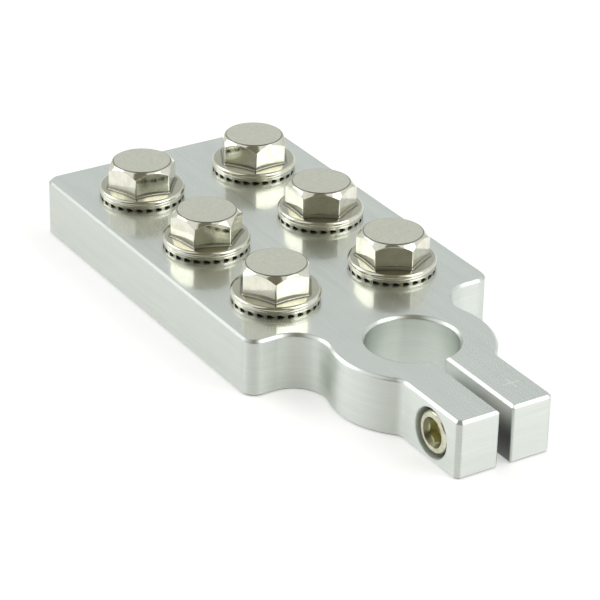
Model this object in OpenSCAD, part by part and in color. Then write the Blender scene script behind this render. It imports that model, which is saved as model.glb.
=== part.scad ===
// Battery terminal clamp. A machined plate ends in a split collar that grips a battery post.
// Six serrated flange bolts hold ring terminals down on the plate, and one socket head screw
// pinches the collar's two ears together.
// Sizes are in millimetres. The origin is on the post's axis, at the bottom face. +Z is up,
// the plate lies towards +Y, and the ears point towards -Y.

/* [Block] */
// Thickness of the plate, the collar and the ears
thickness = 12; // [11:0.5:20]
// Chamfer round the top edges
top_chamfer = 0.55; // [0.2:0.05:1]
// Chamfer round the bottom edges
bottom_chamfer = 0.4; // [0.2:0.05:1]

/* [Plate] */
// From the post's axis to the plate's front edge
plate_front = 13.5; // [11:0.1:15]
// Radius of the plate's four corners
plate_corner = 3; // [1:0.25:6]
// Radius of the fillets between the plate and the collar
neck_fillet = 6.6; // [3:0.1:8]

/* [Bolt pattern] */
// Rows of bolts along the plate
bolt_rows = 3; // [1:1:4]
// Distance between rows
row_pitch = 26.6; // [22:0.1:40]
// Distance between the two columns
column_pitch = 27; // [22:0.1:40]
// From the plate's front edge to the first row
front_margin = 13.8; // [10:0.1:20]
// From the last row to the plate's rear edge
rear_margin = 16.8; // [10:0.1:25]
// From each column to the plate's side
side_margin = 14.25; // [10:0.05:20]

/* [Collar and ears] */
// Diameter of the bore that takes the battery post
post_bore = 18; // [15:0.1:20]
// Wall of the collar round the bore
collar_wall = 7.15; // [5:0.05:10]
// Width of the slit between the ears
slit_width = 2.8; // [1.5:0.1:5]
// Thickness of each ear beside the slit
ear_thickness = 9.13; // [8.5:0.01:12]
// Length of the ears beyond the collar
ear_length = 14.25; // [12:0.05:25]
// Radius of the fillets between the collar and the ears
ear_fillet = 3; // [1:0.25:4]
// Chamfer on the ears' outer front corners
ear_corner = 0.85; // [0.3:0.05:2]
// Chamfer where the slit meets the ears' front faces
slit_corner = 0.35; // [0.2:0.05:1]

/* [Pinch screw] */
// Diameter of the screw's thread
screw_thread = 5; // [4:0.5:6]
// Length of the screw under its head
screw_length = 12; // [10:0.5:16]
// Diameter of the screw's head
screw_head = 8.5; // [8:0.1:9.5]
// Height of the screw's head
screw_head_height = 5; // [4:0.1:6]
// Width of the hex socket across its flats
screw_socket = 4; // [3:0.5:5]
// Depth of the hex socket
screw_socket_depth = 2.6; // [1.5:0.1:3]
// How far the head's face lies inside the ear's face
screw_head_recess = 0.3; // [0:0.1:1.2]
// Space round the head in its counterbore
counterbore_clearance = 0.75; // [0.2:0.05:0.8]
// Space round the shank in the ear that it passes through
screw_shank_clearance = 0.25; // [0.1:0.05:0.5]
// From the screw's axis to the ears' front faces
screw_setback = 8.5; // [7:0.1:12]
// How far the screw's axis lies below the middle of the ears' thickness
screw_drop = 0.3; // [0:0.05:0.5]

/* [Flange bolts] */
// Diameter of the bolts' thread
bolt_thread = 8; // [6:0.5:9]
// Width of the hex across its flats
bolt_hex = 13; // [12:0.1:14]
// Height of the head above its seat
bolt_head_height = 7.6; // [7:0.1:9]
// Diameter of the flange
bolt_flange = 17.8; // [16.5:0.1:20]
// Height of the flange's widest line above the seat
flange_rim_height = 1.4; // [1.2:0.05:1.8]
// Radius of the flange's rounded rim
flange_rim_round = 0.75; // [0.5:0.05:0.9]
// Slope of the flange's upper face, in degrees
flange_slope = 10; // [5:1:25]
// Width and height of the flare at the foot of the hex
hex_flare = 0.8; // [0.3:0.05:0.8]
// Number of serrations under each flange
serrations = 27; // [12:1:32]
// Width of the groove between two serrations
groove_width = 1.3; // [0.5:0.05:1.3]
// How far the bolts' tips stay above the bottom face
bolt_tip_gap = 0.3; // [0.1:0.1:1]

/* [Hidden] */
$fn = 96;

// Radial clearance between a thread's crest and the plain hole that stands for its tapped hole
thread_clearance = 0.05;
// How far a fillet runs into the faces beside it, so that they cross cleanly where they are tangent
blend = 0.002;
// How far a cutting shape runs past the faces that it cuts
overrun = 1;

bolt_columns = 2;
bolt_count = bolt_columns * bolt_rows;
// How far each bolt's hex is turned as tightened, in degrees from +X to a corner
bolt_turns = [51, 40.5, 58.5, 2.5, 28.8, 28.5];
// Chamfer at the mouths of the bolts' holes
bolt_hole_chamfer = 0.6;
// Chamfers at the mouths of the pinch screw's counterbore and of its threaded hole
counterbore_chamfer = 0.15;
screw_hole_chamfer = 0.35;

plate_width = column_pitch + 2 * side_margin;
plate_length = front_margin + (bolt_rows - 1) * row_pitch + rear_margin;
plate_middle = plate_front + plate_length / 2;
first_row = plate_front + front_margin;

collar_radius = post_bore / 2 + collar_wall;
ear_side = slit_width / 2 + ear_thickness;
ear_front = collar_radius + ear_length;

// Centres of the fillets on the +X side: each lies one fillet radius off both faces that it joins
neck_y = plate_front - neck_fillet;
neck_x = sqrt(pow(collar_radius + neck_fillet, 2) - pow(neck_y, 2));
notch_x = ear_side + ear_fillet;
notch_y = -sqrt(pow(collar_radius + ear_fillet, 2) - pow(notch_x, 2));

screw_y = screw_setback - ear_front;
screw_z = thickness / 2 - screw_drop;
counterbore_depth = screw_head_height + screw_head_recess;
screw_seat = counterbore_depth - ear_side;
counterbore_radius = screw_head / 2 + counterbore_clearance;
screw_head_round = 0.8;
screw_tip_chamfer = 0.5;
socket_mouth_chamfer = 0.7;

bolt_shank = thickness - bolt_tip_gap;
bolt_tip_chamfer = 0.8;
// How far the flat face on top of the head lies inside the hex's flats
face_inset = 0.5;
face_radius = bolt_hex / 2 - face_inset;
// The chamfer from that face down to the hex's corners, and the round between the two
corner_drop = 1.1;
face_round = 0.8;
// How much the hex's corners are turned down
corner_trim = 0.3;
corner_radius = bolt_hex / 2 / cos(30) - corner_trim;
// Least distance from the flare at the hex's foot to the flange's rounded rim
foot_setback = 0.1;
// The serrated ring under the flange: it bears on the plate outside a shallow recess
recess_height = 0.3;
recess_width = 2;
ring_inner = bolt_thread / 2 + recess_width;
ring_setback = 0.2;
ring_outer = bolt_flange / 2 - ring_setback;
// Height of the grooves' floors at the flange's rim
groove_outer_height = 0.45;

aluminium = [0.80, 0.82, 0.80];
nickel = [0.74, 0.73, 0.67];
dark_nickel = [0.50, 0.50, 0.45];

// Outline of a slice through the block's edge, from the middle out to a side at x = reach
module edge_section(reach) {
    polygon([
        [0, 0],
        [reach - bottom_chamfer, 0],
        [reach, bottom_chamfer],
        [reach, thickness - top_chamfer],
        [reach - top_chamfer, thickness],
        [0, thickness]
    ]);
}

// A bar along Y with chamfered long edges
module chamfered_bar(width, length) {
    rotate([90, 0, 0])
        linear_extrude(height = length, center = true) {
            edge_section(width / 2);
            mirror([1, 0])
                edge_section(width / 2);
        }
}

// A disc with chamfered rims
module chamfered_disc(radius) {
    rotate_extrude()
        edge_section(radius);
}

// A block that reaches from far behind the origin to a chamfered face at the given heading
module faced_block(heading, reach, span) {
    rotate([0, 0, heading])
        rotate([90, 0, 0])
            linear_extrude(height = 2 * span, center = true)
                union() {
                    edge_section(reach);
                    translate([-span, 0])
                        square([span + overrun, thickness]);
                }
}

// A cutter for a vertical hole through the block, flared at both mouths
module flared_cutter(radius, top_flare, bottom_flare) {
    rotate_extrude()
        polygon([
            [0, -overrun],
            [radius + bottom_flare + overrun, -overrun],
            [radius, bottom_flare],
            [radius, thickness - top_flare],
            [radius + top_flare + overrun, thickness + overrun],
            [0, thickness + overrun]
        ]);
}

module plate() {
    translate([0, plate_middle, 0]) {
        chamfered_bar(plate_width, plate_length - 2 * plate_corner);
        rotate([0, 0, 90])
            chamfered_bar(plate_length, plate_width - 2 * plate_corner);
        for (x = [-1, 1], y = [-1, 1])
            translate([x * (plate_width / 2 - plate_corner), y * (plate_length / 2 - plate_corner), 0])
                chamfered_disc(plate_corner);
    }
}

module ears() {
    corner_reach = (ear_side + ear_front - ear_corner) / sqrt(2);
    span = 2 * ear_front;
    intersection() {
        faced_block(0, ear_side, span);
        faced_block(180, ear_side, span);
        faced_block(270, ear_front, span);
        faced_block(225, corner_reach, span);
        faced_block(315, corner_reach, span);
        translate([-span, -span, 0])
            cube([2 * span, span, thickness]);
    }
}

// The metal in a concave corner, left round by a cutter at the fillet's centre
module web(outline, centre, radius) {
    difference() {
        linear_extrude(height = thickness)
            polygon(outline);
        translate([centre[0], centre[1], 0])
            flared_cutter(radius + blend, top_chamfer, bottom_chamfer);
    }
}

module fillets() {
    inside_plate = plate_front + plate_corner + neck_fillet;
    inside_ear = ear_side / 2;
    neck = [neck_x, neck_y];
    notch = [notch_x, notch_y];
    for (side = [0, 1])
        mirror([side, 0, 0]) {
            web([neck, [neck_x, inside_plate], [0, inside_plate], [0, 0]], neck, neck_fillet);
            web([notch, [0, 0], [inside_ear, notch_y]], notch, ear_fillet);
        }
}

// The slit from the ears' front faces into the bore, flared along its top and bottom edges
module slit() {
    half = slit_width / 2;
    section = [
        [half + bottom_chamfer + overrun, -overrun],
        [half, bottom_chamfer],
        [half, thickness - top_chamfer],
        [half + top_chamfer + overrun, thickness + overrun]
    ];
    rotate([90, 0, 0])
        linear_extrude(height = ear_front + overrun)
            polygon(concat(section, [for (i = [3 : -1 : 0]) [-section[i][0], section[i][1]]]));
    flare = half + slit_corner + overrun;
    translate([0, -ear_front, -overrun])
        linear_extrude(height = thickness + 2 * overrun)
            polygon([
                [-flare, -overrun],
                [flare, -overrun],
                [half, slit_corner],
                [-half, slit_corner]
            ]);
}

// The pinch screw's holes: counterbore and clearance hole in the -X ear, thread in the +X ear
module screw_holes() {
    thread_radius = screw_thread / 2 + thread_clearance;
    shank_radius = screw_thread / 2 + screw_shank_clearance;
    translate([0, screw_y, screw_z])
        rotate([0, 90, 0]) {
            translate([0, 0, -ear_side - overrun])
                cylinder(r = counterbore_radius, h = counterbore_depth + overrun);
            translate([0, 0, -ear_side - overrun])
                cylinder(r1 = counterbore_radius + counterbore_chamfer + overrun, r2 = counterbore_radius,
                         h = counterbore_chamfer + overrun);
            translate([0, 0, -ear_side])
                cylinder(r = shank_radius, h = ear_side);
            cylinder(r = thread_radius, h = ear_side + overrun);
            translate([0, 0, ear_side - screw_hole_chamfer])
                cylinder(r1 = thread_radius, r2 = thread_radius + screw_hole_chamfer + overrun,
                         h = screw_hole_chamfer + overrun);
        }
}

// The place of bolt i: column by column, from the rear row to the front
function bolt_place(i) = [
    (floor((i - 1) / bolt_rows) * 2 - 1) * column_pitch / 2,
    first_row + (bolt_rows - 1 - (i - 1) % bolt_rows) * row_pitch
];

module clamp_body() {
    color(aluminium)
        difference() {
            union() {
                plate();
                chamfered_disc(collar_radius);
                ears();
                fillets();
            }
            flared_cutter(post_bore / 2, top_chamfer, bottom_chamfer);
            slit();
            screw_holes();
            for (i = [1 : bolt_count])
                translate(bolt_place(i))
                    flared_cutter(bolt_thread / 2 + thread_clearance, bolt_hole_chamfer, bolt_hole_chamfer);
        }
}

// Where the flange's upper face runs into its rounded rim, and the face's height at a radius
rim = [bolt_flange / 2 - flange_rim_round, flange_rim_height];
slope_end = rim + (flange_rim_round - blend) * [sin(flange_slope), cos(flange_slope)];
function flange_height(radius) = slope_end[1] + (slope_end[0] - radius) * tan(flange_slope);

// Half section of the shank and the flange, with the seat at y = 0
module flange_section() {
    shank = bolt_thread / 2;
    polygon([
        [0, -bolt_shank],
        [shank - bolt_tip_chamfer, -bolt_shank],
        [shank, bolt_tip_chamfer - bolt_shank],
        [shank, recess_height],
        [ring_inner - recess_height, recess_height],
        [ring_inner, 0],
        [ring_outer, 0],
        [ring_outer, rim[1]],
        slope_end,
        [0, flange_height(0)]
    ]);
    translate(rim)
        circle(r = flange_rim_round);
}

// Half section of the hex head's envelope: flat face, rounded edge and corner chamfer
module head_section() {
    chamfer_angle = atan(corner_drop / (corner_radius - face_radius));
    flat = face_radius - face_round * tan(chamfer_angle / 2);
    edge = [flat, bolt_head_height - face_round];
    polygon([
        [0, flange_rim_height],
        [corner_radius, flange_rim_height],
        [corner_radius, bolt_head_height - corner_drop],
        edge + face_round * [sin(chamfer_angle), cos(chamfer_angle)],
        [flat, bolt_head_height],
        [0, bolt_head_height]
    ]);
    translate(edge)
        circle(r = face_round + blend);
}

// The flare that carries the hex down into the flange: bevels below its flats, and a cone below its corners
module hex_foot() {
    flat = bolt_hex / 2;
    flare = max(foot_setback, min(hex_flare, slope_end[0] - corner_radius - foot_setback));
    top = flange_height(flat + flare) + flare;
    depth = flare + flange_rim_round / 2;
    intersection() {
        intersection_for(k = [0 : 2])
            rotate([0, 0, 60 * k + 30])
                rotate([90, 0, 0])
                    linear_extrude(height = bolt_flange, center = true)
                        polygon([
                            [-flat - depth, top - depth],
                            [flat + depth, top - depth],
                            [flat - blend, top + blend],
                            [blend - flat, top + blend]
                        ]);
        translate([0, 0, top - depth])
            cylinder(r1 = corner_radius + depth, r2 = corner_radius - blend, h = depth + blend);
    }
}

// One groove between two serrations: a steep wall, a short floor and a ramp, rising outwards
module groove() {
    rise = groove_outer_height - recess_height;
    run = bolt_flange / 2 - ring_inner;
    half = groove_width / 2;
    deep = 2 * overrun;
    translate([ring_inner, 0, recess_height])
        rotate([0, -atan(rise / run), 0])
            rotate([90, 0, 90])
                translate([0, 0, -overrun])
                    linear_extrude(height = run + 2 * overrun)
                        polygon([[-half, 0], [0, 0], [half, -recess_height], [half, -deep], [-half, -deep]]);
}

module flange_bolt(i) {
    place = bolt_place(i);
    turn = bolt_turns[(i - 1) % len(bolt_turns)];
    color(nickel)
        translate([place[0], place[1], thickness])
            rotate([0, 0, turn])
                difference() {
                    union() {
                        rotate_extrude()
                            flange_section();
                        intersection() {
                            rotate_extrude()
                                head_section();
                            cylinder(d = bolt_hex / cos(30), h = bolt_head_height + overrun, $fn = 6);
                        }
                        hex_foot();
                    }
                    for (k = [0 : serrations - 1])
                        rotate([0, 0, k * 360 / serrations])
                            groove();
                }
}

module pinch_screw() {
    head_radius = screw_head / 2;
    shank = screw_thread / 2;
    socket_corner = screw_socket / 2 / cos(30);
    // The screw is drawn head up with its seat at z = 0, then laid along X with its tip towards +X
    color(dark_nickel)
        translate([screw_seat, screw_y, screw_z])
            rotate([0, -90, 0])
                difference() {
                    rotate_extrude()
                        union() {
                            polygon([
                                [0, -screw_length],
                                [shank - screw_tip_chamfer, -screw_length],
                                [shank, screw_tip_chamfer - screw_length],
                                [shank, 0],
                                [head_radius, 0],
                                [head_radius, screw_head_height - screw_head_round],
                                [head_radius - screw_head_round, screw_head_height],
                                [0, screw_head_height]
                            ]);
                            translate([head_radius - screw_head_round, screw_head_height - screw_head_round])
                                circle(r = screw_head_round + blend);
                        }
                    translate([0, 0, screw_head_height - screw_socket_depth])
                        cylinder(r = socket_corner, h = screw_socket_depth + overrun, $fn = 6);
                    translate([0, 0, screw_head_height - socket_mouth_chamfer])
                        cylinder(r1 = socket_corner, r2 = socket_corner + socket_mouth_chamfer + overrun,
                                 h = socket_mouth_chamfer + overrun);
                }
}

clamp_body();
for (i = [1 : bolt_count])
    flange_bolt(i);
pinch_screw();
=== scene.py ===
import math

import bpy
from mathutils import Matrix, Vector


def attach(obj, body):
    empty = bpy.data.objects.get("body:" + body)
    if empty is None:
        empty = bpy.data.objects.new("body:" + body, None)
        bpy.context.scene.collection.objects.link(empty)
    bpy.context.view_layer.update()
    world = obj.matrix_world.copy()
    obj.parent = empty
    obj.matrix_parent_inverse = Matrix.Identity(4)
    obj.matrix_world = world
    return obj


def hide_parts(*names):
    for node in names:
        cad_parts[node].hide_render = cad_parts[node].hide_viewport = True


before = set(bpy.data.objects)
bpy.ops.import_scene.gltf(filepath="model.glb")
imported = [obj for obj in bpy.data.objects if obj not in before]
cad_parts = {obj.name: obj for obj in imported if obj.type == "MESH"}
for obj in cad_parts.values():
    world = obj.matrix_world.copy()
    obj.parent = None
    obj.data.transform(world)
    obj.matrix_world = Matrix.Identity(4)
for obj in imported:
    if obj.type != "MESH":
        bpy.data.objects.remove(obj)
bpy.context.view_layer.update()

scene = bpy.context.scene
MM = 0.001
COS_30 = math.cos(math.radians(30))
OWN_PLACE = "own_place"  # a fastener's own coordinates in millimetres, kept on its mesh

# Sizes and places in millimetres, turns in degrees, all as in the CAD

# The body
THICKNESS = 12.0
PLATE_SIDE = 27.75
BORE_RADIUS = 9.0
SLIT_SIDE = 1.4
COUNTERBORE_RADIUS = 5.0
ROWS_Y = (27.3, 53.9, 80.5)
COLUMN_X = 13.5
BOLT_TURNS = (51.0, 40.5, 58.5, 2.5, 28.8, 28.5)

# A flange bolt: heights are above its seat, and its profile points are (radius, height)
HEX_FLAT = 6.37
HEX_CORNER_ROUND = 0.4
HEAD_HEIGHT = 7.6
FACE_RADIUS = 6.0
FACE_ROUND = 0.8
CONE_DROP = 1.1
CORNER_TRIM = 0.3
CONE_SLOPE = CONE_DROP / (HEX_FLAT / COS_30 - CORNER_TRIM - FACE_RADIUS)
SHOULDER_ROUND = 0.16
ROOT_ROUND = 0.45
FLANGE_SLOPE = math.radians(10)
RIM_CENTRE = (8.15, 1.4)
RIM_ROUND = 0.75
FLANGE_RADIUS = RIM_CENTRE[0] + RIM_ROUND
SLOPE_END = (
    RIM_CENTRE[0] + RIM_ROUND * math.sin(FLANGE_SLOPE),
    RIM_CENTRE[1] + RIM_ROUND * math.cos(FLANGE_SLOPE),
)
SEAT_RADIUS = 8.7
RING_INNER = 6.0
RECESS = 0.3
SERRATIONS = 27
GROOVE = 1.3
GROOVE_RISE = 0.15
BOLT_RADIUS = 4.0
BOLT_PITCH = 1.25
BOLT_THREAD = 0.70
BOLT_TIP = 0.9
BOLT_SHANK = 11.7

# The pinch screw: its head points along -X
SCREW_SEAT = (-5.23, -21.9, 5.7)
SCREW_RADIUS = 2.5
SCREW_PITCH = 0.8
SCREW_THREAD = 0.46
SCREW_TIP = 0.5
SCREW_LENGTH = 12.0
SCREW_HEAD = 4.25
SCREW_HEAD_HEIGHT = 5.0
SCREW_HEAD_ROUND = 0.8
SCREW_FOOT_BEVEL = 0.25
SOCKET_FLAT = 2.0
SOCKET_CORNER_ROUND = 0.05
SOCKET_DEPTH = 2.6
SOCKET_MOUTH = 0.7
SOCKET_FLOOR_DROP = 0.55
KNURLS = 60
KNURL_DEPTH = 0.05
KNURL_FOOT = 0.35


# Node helpers
def node(tree, kind, inputs=None, **settings):
    """A shader node with its settings and inputs: an input is a value or another node's output."""
    made = tree.nodes.new("ShaderNode" + kind)
    for name, value in settings.items():
        setattr(made, name, value)
    for key, value in (inputs or {}).items():
        if isinstance(value, bpy.types.NodeSocket):
            tree.links.new(value, made.inputs[key])
        else:
            made.inputs[key].default_value = value
    return made


def maths(tree, operation, *values, clamp=False):
    return node(tree, "Math", dict(enumerate(values)), operation=operation, use_clamp=clamp).outputs[0]


def product(tree, first, *others):
    for other in others:
        first = maths(tree, "MULTIPLY", first, other)
    return first


def total(tree, first, *others):
    for other in others:
        first = maths(tree, "ADD", first, other)
    return first


def absolute(tree, value):
    return maths(tree, "ABSOLUTE", value)


def distance(tree, across, along, centre=(0.0, 0.0)):
    """Distance from an axis, from the two coordinates that lie across it."""
    if centre != (0.0, 0.0):
        across, along = (maths(tree, "SUBTRACT", v, c) for v, c in zip((across, along), centre))
    return maths(tree, "SQRT", total(tree, product(tree, across, across), product(tree, along, along)))


def ramp(tree, value, low, high, to_low=0.0, to_high=1.0, kind="SMOOTHSTEP"):
    """A value between two levels, mapped with soft ends onto two others."""
    inputs = {0: value, 1: low, 2: high, 3: to_low, 4: to_high}
    return node(tree, "MapRange", inputs, interpolation_type=kind).outputs[0]


def straight(tree, value, low, high, to_low, to_high):
    """The same as ramp, without soft ends."""
    return ramp(tree, value, low, high, to_low, to_high, "LINEAR")


def streaks(tree, position, scale, detail, roughness=0.55):
    """Noise stretched by a scale per axis, in cycles per millimetre."""
    placed = node(tree, "VectorMath", {0: position, 1: scale}, operation="MULTIPLY").outputs[0]
    inputs = {"Vector": placed, "Scale": 1.0, "Detail": detail, "Roughness": roughness}
    return node(tree, "TexNoise", inputs).outputs["Fac"]


def clouds(tree, position, scale, detail, roughness=0.55):
    """Noise with the same scale on every axis."""
    return streaks(tree, position, (scale, scale, scale), detail, roughness)


def blend_values(tree, factor, a, b):
    return node(tree, "Mix", {0: factor, 2: a, 3: b}, data_type="FLOAT").outputs[0]


def blend_colours(tree, factor, a, b):
    return node(tree, "Mix", {0: factor, 6: a, 7: b}, data_type="RGBA").outputs[2]


def coats(tree, base, *layers):
    """A base colour with further colours laid over it, each through its own mask."""
    for mask, colour in layers:
        base = blend_colours(tree, mask, base, colour)
    return base


def open_air(tree, reach):
    """How open a spot is to the air around it: 1 on a bare face, less in a corner."""
    return node(tree, "AmbientOcclusion", {"Distance": reach * MM}, samples=8).outputs["AO"]


def new_material(name):
    material = bpy.data.materials.new(name)
    material.use_nodes = True
    tree = material.node_tree
    tree.nodes.clear()
    return material, tree


def on_object(tree):
    """The place of a spot on its object, in millimetres, and the normal there."""
    spot = node(tree, "TexCoord").outputs
    place = node(tree, "VectorMath", {0: spot["Object"], "Scale": 1 / MM}, operation="SCALE").outputs[0]
    return place, spot["Normal"]


def parts(tree, vector):
    """X, Y and Z of a vector."""
    return node(tree, "SeparateXYZ", {0: vector}).outputs


def metal_shader(tree, **inputs):
    sockets = {name.replace("_", " "): value for name, value in inputs.items()}
    shader = node(tree, "BsdfPrincipled", {"Metallic": 1.0, **sockets})
    node(tree, "OutputMaterial", {"Surface": shader.outputs[0]})


# Machined aluminium
CUT_DARK = (0.69, 0.737, 0.687, 1)
CUT_LIGHT = (0.84, 0.88, 0.833, 1)
LAPPED = (0.96, 0.96, 0.93, 1)
BAR_FACE = (0.36, 0.39, 0.33, 1)
# Painted shade on the chamfers, which tones down their highlights
CHAMFER_SHADE = (0.50, 0.53, 0.50, 1)
# Worn edges, brightened further by a painted highlight; also the scratches' colour
WORN_EDGE_AND_HIGHLIGHT = (0.88, 0.90, 0.885, 1)
SIGN_WHITE = (0.97, 0.97, 0.97, 1)
# Painted shade in the slit, darker towards its bottom
SLIT_SHADE = (0.34, 0.35, 0.34, 1)
# Painted contact shadow along the lower edge
CONTACT_SHADE = (0.16, 0.16, 0.15, 1)

SIGN_CENTRE = (6.2, -23.0)
SIGN_RADIUS = 3.1
SIGN_ARM = 1.95
SIGN_STROKE = 0.30
SIGN_RING_STRENGTH = 0.22


def polarity_sign(tree, x, y):
    """A plus in a thin circle, as a mask that runs through the whole height."""
    across = maths(tree, "SUBTRACT", x, SIGN_CENTRE[0])
    along = maths(tree, "SUBTRACT", y, SIGN_CENTRE[1])
    off_ring = absolute(tree, maths(tree, "SUBTRACT", distance(tree, across, along), SIGN_RADIUS))
    ring = product(tree, ramp(tree, off_ring, 0.16, 0.05), SIGN_RING_STRENGTH)
    across, along = absolute(tree, across), absolute(tree, along)
    bars = [
        product(
            tree,
            ramp(tree, sideways, SIGN_STROKE, SIGN_STROKE / 2),
            ramp(tree, lengthwise, SIGN_ARM, SIGN_ARM - 0.2),
        )
        for sideways, lengthwise in ((along, across), (across, along))
    ]
    return maths(tree, "MAXIMUM", ring, maths(tree, "MAXIMUM", *bars))


def aluminium():
    """Fine lines along each face, soft blotches, a few scratches, worn edges with a painted highlight, and
    painted shade on the chamfers, in the slit and along the lower edge.
    """
    material, tree = new_material("machined_aluminium_detail")
    place, normal = on_object(tree)
    x, y, z = parts(tree, place)
    off_middle = absolute(tree, x)
    level = absolute(tree, parts(tree, normal)["Z"])
    flat = ramp(tree, level, 0.80, 0.95)

    # The cutters' lines run along the top and level round the sides, in wider bands of a slightly other tone
    top_lines = streaks(tree, place, (1.8, 0.05, 1.0), 2.0, 0.5)
    side_lines = streaks(tree, place, (0.07, 0.07, 2.8), 4.0, 0.62)
    lines = blend_values(tree, flat, side_lines, top_lines)
    top_bands = streaks(tree, place, (0.35, 0.015, 1.0), 2.0)
    side_bands = streaks(tree, place, (0.025, 0.025, 0.42), 2.0)
    bands = blend_values(tree, flat, side_bands, top_bands)
    blotches = clouds(tree, place, 0.09, 3.0)
    specks = clouds(tree, place, 3.0, 2.0)

    # Faint scratches run aslant over the top's lines
    turned = node(tree, "VectorRotate", {"Vector": place, "Angle": 0.85, "Axis": (0.5, 0.6, 0.62)})
    scratches = product(
        tree,
        ramp(tree, streaks(tree, turned.outputs[0], (0.10, 5.0, 0.10), 2.0), 0.66, 0.72),
        ramp(tree, clouds(tree, place, 0.16, 1.0), 0.48, 0.62),
        flat,
    )
    # The polarity sign is lightly marked on the top of one ear
    sign = product(
        tree,
        polarity_sign(tree, x, y),
        ramp(tree, specks, 0.35, 0.6, 0.45, 1.0),
        flat,
        ramp(tree, z, THICKNESS - 1.0, THICKNESS - 0.1),
    )

    # The bore is reamed smooth, and the counterbore's wall is left dull by its cutter
    from_bore = distance(tree, x, y)
    in_bore = product(
        tree,
        ramp(tree, from_bore, BORE_RADIUS + 0.6, BORE_RADIUS + 0.2),
        ramp(tree, level, 0.5, 0.3),
    )
    from_screw = distance(tree, y, z, SCREW_SEAT[1:])
    in_counterbore = product(
        tree,
        ramp(tree, from_screw, COUNTERBORE_RADIUS + 0.12, COUNTERBORE_RADIUS + 0.06),
        ramp(tree, x, -4.0, -5.0),
    )
    # The slit's walls are painted darker towards the bottom: painted shade
    slit_shade = product(
        tree,
        ramp(tree, off_middle, SLIT_SIDE + 0.15, SLIT_SIDE + 0.05),
        ramp(tree, y, 0.5 - BORE_RADIUS, -0.2 - BORE_RADIUS),
        ramp(tree, z, THICKNESS - 1.5, 5.0),
    )
    # The plate's long sides are the drawn bar's own faces, duller than the milled ones
    bar_face = product(
        tree,
        ramp(tree, off_middle, PLATE_SIDE - 0.2, PLATE_SIDE - 0.05),
        ramp(tree, level, 0.3, 0.1),
    )
    # The broken edges are painted darker, a painted shade that tones down their highlights, most of all
    # along the bar's own sides
    chamfer = product(
        tree,
        ramp(tree, level, 0.62, 0.68),
        ramp(tree, level, 0.79, 0.73),
        ramp(tree, off_middle, PLATE_SIDE - 1.75, PLATE_SIDE - 0.95, 0.22, 1.0),
    )
    # Painted contact shadow darkens the lower edge
    contact_shade = product(tree, ramp(tree, open_air(tree, 0.6), 0.75, 0.40), ramp(tree, z, 1.2, 0.7))

    # Sharp edges are painted brighter, partly wear and partly a painted highlight: the rounded normal leaves
    # the face's own one only close to an edge
    rounded = node(tree, "Bevel", {"Radius": 0.40 * MM}, samples=8).outputs[0]
    face_normal = node(tree, "NewGeometry").outputs["Normal"]
    agree = node(tree, "VectorMath", {0: rounded, 1: face_normal}, operation="DOT_PRODUCT").outputs["Value"]
    worn_and_highlit_edges = product(
        tree,
        ramp(tree, agree, 0.995, 0.93),
        ramp(tree, clouds(tree, place, 0.8, 3.0), 0.35, 0.65, 0.3, 1.0),
        maths(tree, "SUBTRACT", 0.7, product(tree, chamfer, 0.5)),
    )

    tone = total(
        tree,
        straight(tree, lines, 0.25, 0.75, -0.035, 0.035),
        straight(tree, bands, 0.3, 0.7, -0.03, 0.03),
        straight(tree, blotches, 0.3, 0.7, -0.015, 0.015),
    )
    colour = coats(
        tree,
        blend_colours(tree, straight(tree, tone, -0.08, 0.08, 0.0, 1.0), CUT_DARK, CUT_LIGHT),
        (product(tree, flat, 0.2), LAPPED),
        (product(tree, bar_face, 0.22), BAR_FACE),
        (product(tree, chamfer, 0.65), CHAMFER_SHADE),
        (maths(tree, "MAXIMUM", worn_and_highlit_edges, scratches), WORN_EDGE_AND_HIGHLIGHT),
        (sign, SIGN_WHITE),
        (slit_shade, SLIT_SHADE),
        (contact_shade, CONTACT_SHADE),
    )

    # The top is lapped: keen spots in a dull ground, so reflections are sharp but pale
    lapped = ramp(tree, clouds(tree, place, 6.0, 1.0), 0.44, 0.56, 0.11, 0.42)
    rough = total(
        tree,
        blend_values(tree, flat, 0.27, lapped),
        straight(tree, bands, 0.3, 0.7, -0.03, 0.03),
        straight(tree, blotches, 0.3, 0.7, -0.02, 0.02),
        ramp(tree, level, 0.60, 0.30, 0.0, 0.22),
        product(tree, chamfer, 0.12),
    )
    rough = blend_values(tree, in_bore, rough, straight(tree, blotches, 0.3, 0.7, 0.30, 0.36))
    rough = blend_values(tree, in_counterbore, rough, 0.8)
    rough = maths(tree, "ADD", rough, product(tree, sign, 0.35), clamp=True)

    height = total(
        tree,
        product(tree, lines, blend_values(tree, flat, 0.7, 0.2)),
        product(tree, specks, 0.1),
        product(tree, scratches, -0.5),
    )
    bump = node(tree, "Bump", {"Strength": 0.3, "Distance": 0.005 * MM, "Height": height, "Normal": rounded})

    # The sides are cut by tools that turn about Z: their level lines draw reflections out upright
    drawn_out = blend_values(tree, in_bore, ramp(tree, level, 0.6, 0.3, 0.0, 0.88), 0.75)
    metal_shader(
        tree,
        Base_Color=colour,
        Roughness=rough,
        Anisotropic=blend_values(tree, in_counterbore, drawn_out, 0.2),
        Tangent=node(tree, "CombineXYZ", {"Z": 1.0}).outputs[0],
        Normal=bump.outputs[0],
    )
    return material


# Bright nickel plate on forged steel
PLATING = (0.80, 0.795, 0.695, 1)
PLATING_STAINED = (0.71, 0.70, 0.585, 1)
SATIN_DARK = (0.745, 0.75, 0.63, 1)
SATIN_LIGHT = (0.815, 0.82, 0.70, 1)
# Painted shade on the flange's slope
FLANGE_SHADE = (0.46, 0.46, 0.36, 1)
# Painted shade in the concave corners, the serrations and round the head's face
CORNER_SHADE = (0.09, 0.087, 0.065, 1)
DRAWN_LINES = (0.55, 0.54, 0.42, 1)
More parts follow.
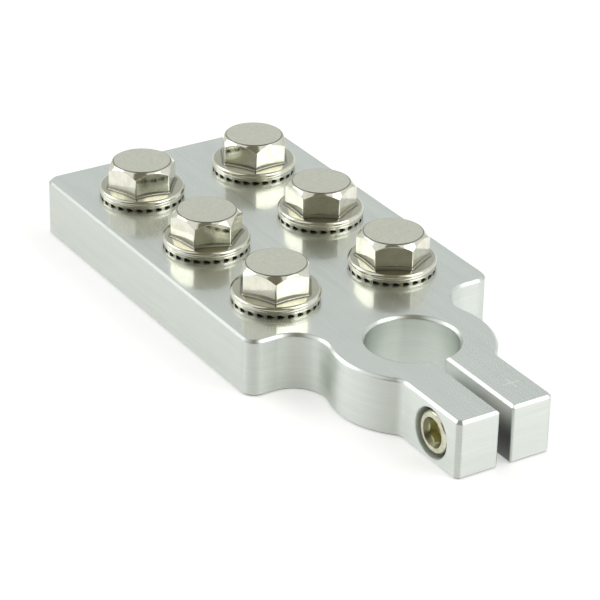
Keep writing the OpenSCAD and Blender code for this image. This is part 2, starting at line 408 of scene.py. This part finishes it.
# Painted shade on the flats towards the foot
FOOT_SHADE = (0.34, 0.335, 0.25, 1)

# Heights above the seat at which the bolt's masks fade
TEETH_FADE = 0.9
SLOPE_FADE = 3.2
FOOT_FADE = 2.2
FOOT_DARKEST = 2.5
FOOT_SHADE_TOP = 4.4


def nickel():
    """Warm, mirror-like and faintly wavy, with a satin face on top of the head."""
    material, tree = new_material("bright_nickel_detail")
    place, normal = on_object(tree)
    own_place = node(tree, "Attribute", attribute_name=OWN_PLACE).outputs["Vector"]
    own_x, own_y, above_seat = parts(tree, own_place)
    from_axis = distance(tree, own_x, own_y)
    facing = parts(tree, normal)["Z"]
    upright = ramp(tree, absolute(tree, facing), 0.30, 0.15)

    waves = streaks(tree, place, (0.35, 0.35, 0.22), 2.0)
    drawn = streaks(tree, place, (2.4, 2.4, 0.07), 3.0)
    grain = clouds(tree, place, 5.0, 3.0)
    stains = clouds(tree, place, 0.5, 4.0)
    mottle = clouds(tree, place, 1.6, 5.0, 0.7)

    # The head's face, with a thin line of painted shade where its rounded edge begins
    face = product(
        tree,
        ramp(tree, facing, 0.975, 0.995),
        ramp(tree, above_seat, HEAD_HEIGHT - 0.4, HEAD_HEIGHT - 0.1),
    )
    off_line = absolute(tree, maths(tree, "SUBTRACT", from_axis, FACE_RADIUS - 0.07))
    face_edge_shade = product(
        tree,
        ramp(tree, off_line, 0.16, 0.05),
        ramp(tree, above_seat, HEAD_HEIGHT - 0.5, HEAD_HEIGHT - 0.3),
        0.75,
    )
    # The flange's slope is painted darker than its rim: painted shade
    flange_shade = product(
        tree,
        ramp(tree, facing, 0.90, 0.96),
        ramp(tree, above_seat, SLOPE_FADE + 0.2, SLOPE_FADE - 0.2),
        0.75,
    )
    # Painted shade darkens the concave corners and the serrations, and less the teeth's outer ends
    tooth_end = product(
        tree,
        ramp(tree, from_axis, SEAT_RADIUS - 0.08, SEAT_RADIUS - 0.01),
        ramp(tree, above_seat, TEETH_FADE + 0.05, TEETH_FADE - 0.05),
    )
    corner_shade = product(
        tree,
        ramp(tree, open_air(tree, 0.7), 0.91, 0.86),
        ramp(tree, tooth_end, 0.0, 1.0, 1.0, 0.62),
    )
    shaded_spots = maths(tree, "MAXIMUM", corner_shade, face_edge_shade)
    # Upright drawing lines on the flats, and painted shade that darkens the flats towards the foot
    lines = product(tree, ramp(tree, drawn, 0.46, 0.66), upright)
    foot = product(
        tree,
        ramp(tree, above_seat, FOOT_SHADE_TOP, FOOT_DARKEST),
        ramp(tree, above_seat, FOOT_FADE - 0.1, FOOT_FADE + 0.1),
        upright,
        0.5,
    )

    colour = coats(
        tree,
        blend_colours(tree, ramp(tree, stains, 0.35, 0.7), PLATING, PLATING_STAINED),
        (face, blend_colours(tree, ramp(tree, mottle, 0.38, 0.62), SATIN_DARK, SATIN_LIGHT)),
        (flange_shade, FLANGE_SHADE),
        (shaded_spots, CORNER_SHADE),
        (product(tree, lines, 0.12), DRAWN_LINES),
        (foot, FOOT_SHADE),
    )
    bright = straight(tree, stains, 0.3, 0.75, 0.05, 0.12)
    satin = straight(tree, grain, 0.3, 0.7, 0.30, 0.42)
    rough = total(
        tree,
        blend_values(tree, face, bright, satin),
        product(tree, shaded_spots, 0.3),
        product(tree, lines, 0.08),
    )
    height = total(tree, waves, product(tree, grain, face, 0.12), product(tree, drawn, upright, 0.05))
    bump = node(tree, "Bump", {"Strength": 0.5, "Distance": 0.03 * MM, "Height": height})
    metal_shader(tree, Base_Color=colour, Roughness=rough, Normal=bump.outputs[0])
    return material


# Satin nickel on the socket screw, a shade darker and browner than the bolts
SCREW_PLATING = (0.70, 0.68, 0.55, 1)
SCREW_STAINED = (0.56, 0.55, 0.42, 1)
# Painted shade just inside the socket's mouth, and deeper in the socket brown plating darkened by painted
# shade
MOUTH_SHADE = (0.19, 0.185, 0.11, 1)
SOCKET_PLATING_AND_SHADE = (0.58, 0.56, 0.34, 1)


def dark_nickel():
    """Satin all over; the socket is painted darker and browner, partly thin brown plating and partly painted
    shade, darkest with painted shade just inside its mouth.
    """
    material, tree = new_material("dark_nickel_detail")
    place, _ = on_object(tree)
    x, y, z = parts(tree, place)
    grain = clouds(tree, place, 3.0, 3.0)
    stains = clouds(tree, place, 0.9, 4.0)
    # The socket's mouth has a radius of 3.01
    socket_shade_mask = product(
        tree,
        ramp(tree, distance(tree, y, z, SCREW_SEAT[1:]), 3.02, 2.90),
        ramp(tree, x, SCREW_SEAT[0] - 0.5, SCREW_SEAT[0] - 1.0),
    )
    opening = SCREW_SEAT[0] - SCREW_HEAD_HEIGHT
    down_socket = ramp(tree, x, opening + 0.6, opening + 1.1)
    colour = coats(
        tree,
        blend_colours(tree, ramp(tree, stains, 0.35, 0.7), SCREW_PLATING, SCREW_STAINED),
        (socket_shade_mask, blend_colours(tree, down_socket, MOUTH_SHADE, SOCKET_PLATING_AND_SHADE)),
    )
    rough = total(tree, straight(tree, grain, 0.3, 0.7, 0.16, 0.26), product(tree, socket_shade_mask, 0.12))
    bump = node(tree, "Bump", {"Strength": 0.4, "Distance": 0.01 * MM, "Height": grain})
    metal_shader(tree, Base_Color=colour, Roughness=rough, Normal=bump.outputs[0])
    return material


# Mesh helpers
SHARP_ANGLE = math.radians(38)
UNDER_HALF = 0.49  # of a line, so that the roundings at its two ends never meet
BOLT_TUCK = 0.05  # how far a shank's end reaches into its head
SCREW_TUCK = 0.02


def arc(centre, radius, start, end, steps):
    """Points round a centre from one heading to another, in degrees."""
    points = []
    for i in range(steps + 1):
        a = math.radians(start + (end - start) * i / steps)
        points.append((centre[0] + radius * math.cos(a), centre[1] + radius * math.sin(a)))
    return points


def fillet(before, corner, after, radius, steps, share=UNDER_HALF):
    """The corner between two lines, rounded, in steps + 1 points. The rounding takes less than half of
    the first line and at most a share of the second."""
    p, c, q = (Vector(v) for v in (before, corner, after))
    to_p, to_q = (p - c).normalized(), (q - c).normalized()
    opening = to_p.angle(to_q)
    reach = min(radius / math.tan(opening / 2), UNDER_HALF * (p - c).length, share * (q - c).length)
    radius = reach * math.tan(opening / 2)
    centre = c + (to_p + to_q).normalized() * (radius / math.sin(opening / 2))
    first, last = c + to_p * reach - centre, c + to_q * reach - centre
    turn = first.angle_signed(last)
    points = []
    for i in range(steps + 1):
        a = -turn * i / steps
        points.append(
            (
                centre.x + first.x * math.cos(a) - first.y * math.sin(a),
                centre.y + first.x * math.sin(a) + first.y * math.cos(a),
            )
        )
    return points


def beside(point, target, gap=0.06):
    """A point a small way from one point towards another: it holds the smooth shading to a rounded edge."""
    p, q = Vector(point), Vector(target)
    return tuple(p + (q - p).normalized() * gap)


def hex_radius(angle, flat, corner_round):
    """Distance from the axis to a hexagon's side at an angle in degrees; a corner lies at 0."""
    off_corner = math.radians((angle + 30.0) % 60.0 - 30.0)
    middle = (flat - corner_round) / COS_30
    if abs(off_corner) < math.atan2(corner_round / 2, middle + corner_round * COS_30):
        chord = math.sqrt(corner_round**2 - (middle * math.sin(off_corner)) ** 2)
        return middle * math.cos(off_corner) + chord
    return flat / math.cos(math.radians(30) - abs(off_corner))


def columns(centres, offsets, count, closest=0.04):
    """Angles in degrees for a round grid: an even spread, and the ones where the shape changes."""
    even = [360.0 * i / count for i in range(count)]
    kept = []
    for a in sorted(even + [(centre + off) % 360.0 for centre in centres for off in offsets]):
        if not kept or a - kept[-1] > closest:
            kept.append(a)
    return kept


def lathe(angles, profile, closed_start=True, closed_end=True):
    """Vertices and faces of a surface swept round Z, whose profile may change with the angle.
    The first and last points of each profile lie on the axis where the surface is closed there."""
    rows = [profile(a) for a in angles]
    first = 1 if closed_start else 0
    last = len(rows[0]) - (1 if closed_end else 0)
    per_row = last - first
    vertices, faces = [], []
    for a, row in zip(angles, rows):
        c, s = math.cos(math.radians(a)), math.sin(math.radians(a))
        vertices += [(r * c, r * s, z) for r, z in row[first:last]]
    starts = [i * per_row for i in range(len(angles))]
    neighbours = list(zip(starts, starts[1:] + starts[:1]))
    for i, j in neighbours:
        faces += [(j + k, j + k + 1, i + k + 1, i + k) for k in range(per_row - 1)]
    if closed_start:
        faces += [(j, i, len(vertices)) for i, j in neighbours]
        vertices.append((0.0, 0.0, rows[0][0][1]))
    if closed_end:
        end = per_row - 1
        faces += [(i + end, j + end, len(vertices)) for i, j in neighbours]
        vertices.append((0.0, 0.0, rows[0][-1][1]))
    return vertices, faces


def join(*shells):
    vertices, faces = [], []
    for some_vertices, some_faces in shells:
        base = len(vertices)
        vertices += some_vertices
        faces += [tuple(i + base for i in face) for face in some_faces]
    return vertices, faces


def thread(radius, depth, pitch, top, bottom, chamfer, around):
    """A threaded shank along -Z from top to bottom, with a chamfered tip."""
    per_turn = 10
    root_share, flank_share = 0.14, 0.66
    steps = round((top - bottom) / pitch * per_turn)
    heights = [top - (top - bottom) * i / steps for i in range(steps + 1)]

    def profile(a):
        points = []
        for h in heights:
            phase = (h / pitch - a / 360.0) % 1.0
            rise = min(1.0, max(0.0, (abs(phase - 0.5) * 2 - root_share) / flank_share))
            tip = radius - chamfer + max(0.0, h - bottom)
            points.append((min(radius - depth * (1 - rise), tip), h))
        return [(0.0, top)] + points + [(0.0, bottom)]

    return lathe([360.0 * i / around for i in range(around)], profile)


def new_piece(replaced, shell, place, material, body):
    """A mesh object in the row frame, in metres, that rides on a body and stands for a CAD node."""
    vertices, faces = shell
    mesh = bpy.data.meshes.new(f"{replaced}_detail")
    mesh.from_pydata([place @ Vector(v) * MM for v in vertices], [], faces)
    mesh.update()
    own = mesh.attributes.new(OWN_PLACE, "FLOAT_VECTOR", "POINT")
    own.data.foreach_set("vector", [c for v in vertices for c in v])
    mesh.materials.append(material)
    piece = bpy.data.objects.new(mesh.name, mesh)
    scene.collection.objects.link(piece)
    mesh.shade_smooth()
    mesh.set_sharp_from_angle(angle=SHARP_ANGLE)
    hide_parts(replaced)
    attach(piece, body)


# The flange bolts
CORNER_COLUMNS = (-2.0, -1.75, -1.2, -0.6, 0, 0.6, 1.2, 1.75, 2.0)  # degrees, over a hex corner's rounding
GROOVE_COLUMNS = (-4.36, -4.26, 0.05, 4.26, 4.36)  # degrees, at a groove's two sides and its foot
FACE_RINGS = (2.0, 4.5)
SKIRT_RINGS = (7.8, 6.9)


def groove_height(angle, radius):
    """Height of the flange's underside above the seat: notched by ramped grooves outside the recess."""
    step = 360.0 / SERRATIONS
    off = (angle + step / 2) % step - step / 2
    across = radius * math.sin(math.radians(off))
    floor = RECESS + GROOVE_RISE * (radius - RING_INNER) / (FLANGE_RADIUS - RING_INNER)
    if -GROOVE / 2 <= across <= 0:
        return floor
    if 0 < across <= GROOVE / 2:
        return floor - RECESS * across / (GROOVE / 2)
    return 0.0


def slope_height(radius):
    """Height of the flange's sloping top."""
    return SLOPE_END[1] + (SLOPE_END[0] - radius) * math.tan(FLANGE_SLOPE)


def bolt_shell():
    """Head, serrated underside and threaded shank of one flange bolt, which run into each other."""
    rim_start = 90 - math.degrees(FLANGE_SLOPE)
    rim_end = -math.degrees(math.acos((SEAT_RADIUS - RIM_CENTRE[0]) / RIM_ROUND))

    def head(a):
        side = hex_radius(a, HEX_FLAT, HEX_CORNER_ROUND)
        rings = [(r, HEAD_HEIGHT) for r in (0.0, *FACE_RINGS)]
        top = (FACE_RADIUS, HEAD_HEIGHT)
        shoulder = (side, HEAD_HEIGHT - (side - FACE_RADIUS) * CONE_SLOPE)
        root = (side, slope_height(side))
        edge = fillet(rings[-1], top, shoulder, FACE_ROUND, steps=8)
        corner = fillet(top, shoulder, root, SHOULDER_ROUND, steps=4)
        foot = fillet(shoulder, root, SLOPE_END, ROOT_ROUND, steps=12, share=0.9)
        points = [*rings, beside(edge[0], rings[-1])]
        points += edge + [beside(edge[-1], shoulder, gap=0.03), beside(corner[0], top, gap=0.03)]
        points += corner + [beside(corner[-1], root), beside(foot[0], shoulder)]
        points += foot + [beside(foot[-1], SLOPE_END), beside(SLOPE_END, root)]
        return points + arc(RIM_CENTRE, RIM_ROUND, rim_start, rim_end, steps=16)

    def skirt(a):
        rings = [(r, groove_height(a, r)) for r in (SEAT_RADIUS, *SKIRT_RINGS, RING_INNER)]
        rim_foot = arc(RIM_CENTRE, RIM_ROUND, rim_end, rim_end, steps=1)[0]
        return [rim_foot, *rings, (RING_INNER - RECESS, RECESS), (BOLT_RADIUS - 0.2, RECESS)]

    hex_columns = columns(range(0, 360, 60), CORNER_COLUMNS, count=180)
    grooves = [i * 360.0 / SERRATIONS for i in range(SERRATIONS)]
    groove_columns = columns(grooves, GROOVE_COLUMNS, count=108)
    return join(
        lathe(hex_columns, head, closed_end=False),
        lathe(groove_columns, skirt, closed_start=False, closed_end=False),
        thread(BOLT_RADIUS, BOLT_THREAD, BOLT_PITCH, RECESS + BOLT_TUCK, -BOLT_SHANK, BOLT_TIP, around=40),
    )


# The pinch screw
SOCKET_COLUMNS = (-1.5, -0.5, 0, 0.5, 1.5)  # degrees, over a socket corner


def screw_shell():
    """Head with its socket and fine knurl, and threaded shank, which run into each other."""
    floor = SCREW_HEAD_HEIGHT - SOCKET_DEPTH
    mouth = SOCKET_FLAT / COS_30 + SOCKET_MOUTH
    round_centre = (SCREW_HEAD - SCREW_HEAD_ROUND, SCREW_HEAD_HEIGHT - SCREW_HEAD_ROUND)

    def head(a):
        wall = hex_radius(a, SOCKET_FLAT, SOCKET_CORNER_ROUND)
        side = SCREW_HEAD - KNURL_DEPTH + KNURL_DEPTH * math.cos(math.radians(a) * KNURLS)
        points = [(0.0, floor - SOCKET_FLOOR_DROP), (wall / 2, floor - 0.3), (wall, floor)]
        points += [(wall, SCREW_HEAD_HEIGHT - (mouth - wall)), (mouth, SCREW_HEAD_HEIGHT)]
        points += arc(round_centre, SCREW_HEAD_ROUND, 90, 0, steps=7)
        points += [(side, SCREW_HEAD_HEIGHT - SCREW_HEAD_ROUND), (side, KNURL_FOOT)]
        points += [(SCREW_HEAD - 0.12, 0.12), (SCREW_HEAD - SCREW_FOOT_BEVEL, 0.0)]
        return points + [(SCREW_RADIUS - 0.1, 0.0)]

    return join(
        lathe(columns(range(0, 360, 60), SOCKET_COLUMNS, count=240), head, closed_end=False),
        thread(SCREW_RADIUS, SCREW_THREAD, SCREW_PITCH, SCREW_TUCK, -SCREW_LENGTH, SCREW_TIP, around=32),
    )


# The pieces
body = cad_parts["clamp_body"]
body.data.materials.clear()
body.data.materials.append(aluminium())

bolt, bright = bolt_shell(), nickel()
for i, turn in enumerate(BOLT_TURNS):
    column = -COLUMN_X if i < len(ROWS_Y) else COLUMN_X
    centre = Vector((column, ROWS_Y[-1 - i % len(ROWS_Y)], THICKNESS))
    place = Matrix.Translation(centre) @ Matrix.Rotation(math.radians(turn), 4, "Z")
    new_piece(f"flange_bolt_{i + 1}", bolt, place, bright, f"bolt_{i + 1}")

z_to_minus_x = Matrix(((0, 0, -1, 0), (0, 1, 0, 0), (1, 0, 0, 0), (0, 0, 0, 1)))
screw_place = Matrix.Translation(Vector(SCREW_SEAT)) @ z_to_minus_x
new_piece("pinch_screw", screw_shell(), screw_place, dark_nickel(), "screw")


# The floor, in metres: diffuse for the light on the object, and raised to white where a ray sees it
FLOOR_HALF = 4.0
FLOOR_HEIGHT = -2e-5
FLOOR_COLOUR = (0.88, 0.88, 0.88, 1)
FLOOR_GLOW = 0.46


def lay_floor():
    mesh = bpy.data.meshes.new("floor")
    signs = ((-1, -1), (1, -1), (1, 1), (-1, 1))
    mesh.from_pydata([(x * FLOOR_HALF, y * FLOOR_HALF, FLOOR_HEIGHT) for x, y in signs], [], [(0, 1, 2, 3)])
    plane = bpy.data.objects.new("floor", mesh)
    scene.collection.objects.link(plane)

    material, tree = new_material("pale_floor")
    path = node(tree, "LightPath").outputs
    seen = maths(tree, "MAXIMUM", path["Is Camera Ray"], path["Is Glossy Ray"])
    seen = maths(tree, "MAXIMUM", seen, path["Is Transmission Ray"])
    matt = node(tree, "BsdfDiffuse", {"Color": FLOOR_COLOUR}).outputs[0]
    glow = node(tree, "Emission", {"Color": (1, 1, 1, 1), "Strength": product(tree, seen, FLOOR_GLOW)})
    both = node(tree, "AddShader", {0: matt, 1: glow.outputs[0]}).outputs[0]
    node(tree, "OutputMaterial", {"Surface": both})
    mesh.materials.append(material)


lay_floor()


# The world: a white studio with a pale grey backdrop, dark behind the camera and overhead, in degrees
DARK_HEADING = 233.5
STUDIO_WHITE = (0.86, 0.86, 0.86, 1)
BACKDROP_GREY = (0.67, 0.69, 0.685, 1)
OVERHEAD_DARK = (0.22, 0.22, 0.20, 1)
DARK_LEFT = (0.20, 0.19, 0.145, 1)
DARK_RIGHT = (0.34, 0.325, 0.24, 1)


def studio_world():
    world = bpy.data.worlds.new("studio")
    scene.world = world
    world.use_nodes = True
    tree = world.node_tree
    tree.nodes.clear()
    towards = node(tree, "TexCoord").outputs["Generated"]
    heading = Vector((math.cos(math.radians(DARK_HEADING)), math.sin(math.radians(DARK_HEADING)), 0.0))
    across = Vector((-heading.y, heading.x, 0.0))

    def along(v):
        return node(tree, "VectorMath", {0: towards, 1: v}, operation="DOT_PRODUCT").outputs["Value"]

    def fade(value, start, end):
        return ramp(tree, value, math.radians(start), math.radians(end))

    u, v, up = along(heading), along(across), parts(tree, towards)["Z"]
    off = absolute(tree, maths(tree, "ARCTAN2", v, u))
    rise = maths(tree, "ARCSINE", up)

    # The dark side narrows upwards, and the dark patch overhead leans away from the camera
    sides = blend_values(tree, ramp(tree, v, -0.1, 0.1), fade(off, 59, 46), fade(off, 54, 48))
    narrowing = ramp(tree, total(tree, absolute(tree, v), up), 1.19, 1.11)
    dark_side = product(tree, sides, narrowing, fade(rise, 0, 3))
    overhead = ramp(tree, along(Vector((0, 0, 1)) - 0.28 * heading), 0.94, 0.97)
    colour = coats(
        tree,
        STUDIO_WHITE,
        (product(tree, fade(off, 118, 150), fade(rise, 75, 50)), BACKDROP_GREY),
        (overhead, OVERHEAD_DARK),
        (dark_side, blend_colours(tree, ramp(tree, v, 0.1, 0.45), DARK_LEFT, DARK_RIGHT)),
    )
    back = node(tree, "Background", {"Color": colour, "Strength": 1.0})
    node(tree, "OutputWorld", {"Surface": back.outputs[0]})


studio_world()


# Two softboxes, left and right of the object as the camera sees it: angles in degrees, sizes in metres
SOFTBOX_AIM = Vector((0.0, 0.033, 0.0))
SOFTBOX_DISTANCE = 0.7


def softbox(name, heading, elevation, width, height, radiance):
    h, e = math.radians(heading), math.radians(elevation)
    towards = Vector((math.cos(h) * math.cos(e), math.sin(h) * math.cos(e), math.sin(e)))
    data = bpy.data.lights.new(name, "AREA")
    data.shape = "RECTANGLE"
    data.size, data.size_y = width, height
    data.energy = radiance * math.pi * width * height
    lamp = bpy.data.objects.new(name, data)
    scene.collection.objects.link(lamp)
    lamp.location = SOFTBOX_AIM + towards * SOFTBOX_DISTANCE
    lamp.rotation_euler = towards.to_track_quat("Z", "Y").to_euler()
    lamp.visible_camera = False


softbox("softbox_left", heading=128, elevation=36, width=0.42, height=0.34, radiance=1.3)
softbox("softbox_right", heading=306, elevation=40, width=0.42, height=0.40, radiance=1.6)


# The camera at the photo's angle: fitted to the photo's edges, lengths in millimetres
AZIMUTH = math.radians(-32.479)
ELEVATION = math.radians(27.769)
ROLL = math.radians(1.26)
TARGET = Vector((-4.034, 33.392, 6.0))
CAMERA_DISTANCE = 536.341
FOCAL_PIXELS = 2713.979
PHOTO_PIXELS = 600.0
SENSOR = 36.0


def place_camera():
    out, rise = math.cos(ELEVATION), math.sin(ELEVATION)
    back = Vector((math.sin(AZIMUTH) * out, -math.cos(AZIMUTH) * out, rise))
    level = Vector((math.cos(AZIMUTH), math.sin(AZIMUTH), 0.0))
    upright = back.cross(level)
    right = level * math.cos(ROLL) + upright * math.sin(ROLL)
    up = -level * math.sin(ROLL) + upright * math.cos(ROLL)
    spot = (TARGET + back * CAMERA_DISTANCE) * MM
    data = bpy.data.cameras.new("camera")
    data.sensor_width = SENSOR
    data.lens = SENSOR * FOCAL_PIXELS / PHOTO_PIXELS
    data.clip_start, data.clip_end = 0.01, 20.0
    camera = bpy.data.objects.new("camera", data)
    scene.collection.objects.link(camera)
    camera.matrix_world = Matrix.Translation(spot) @ Matrix((right, up, back)).transposed().to_4x4()
    scene.camera = camera


place_camera()

scene.view_settings.view_transform = "Standard"
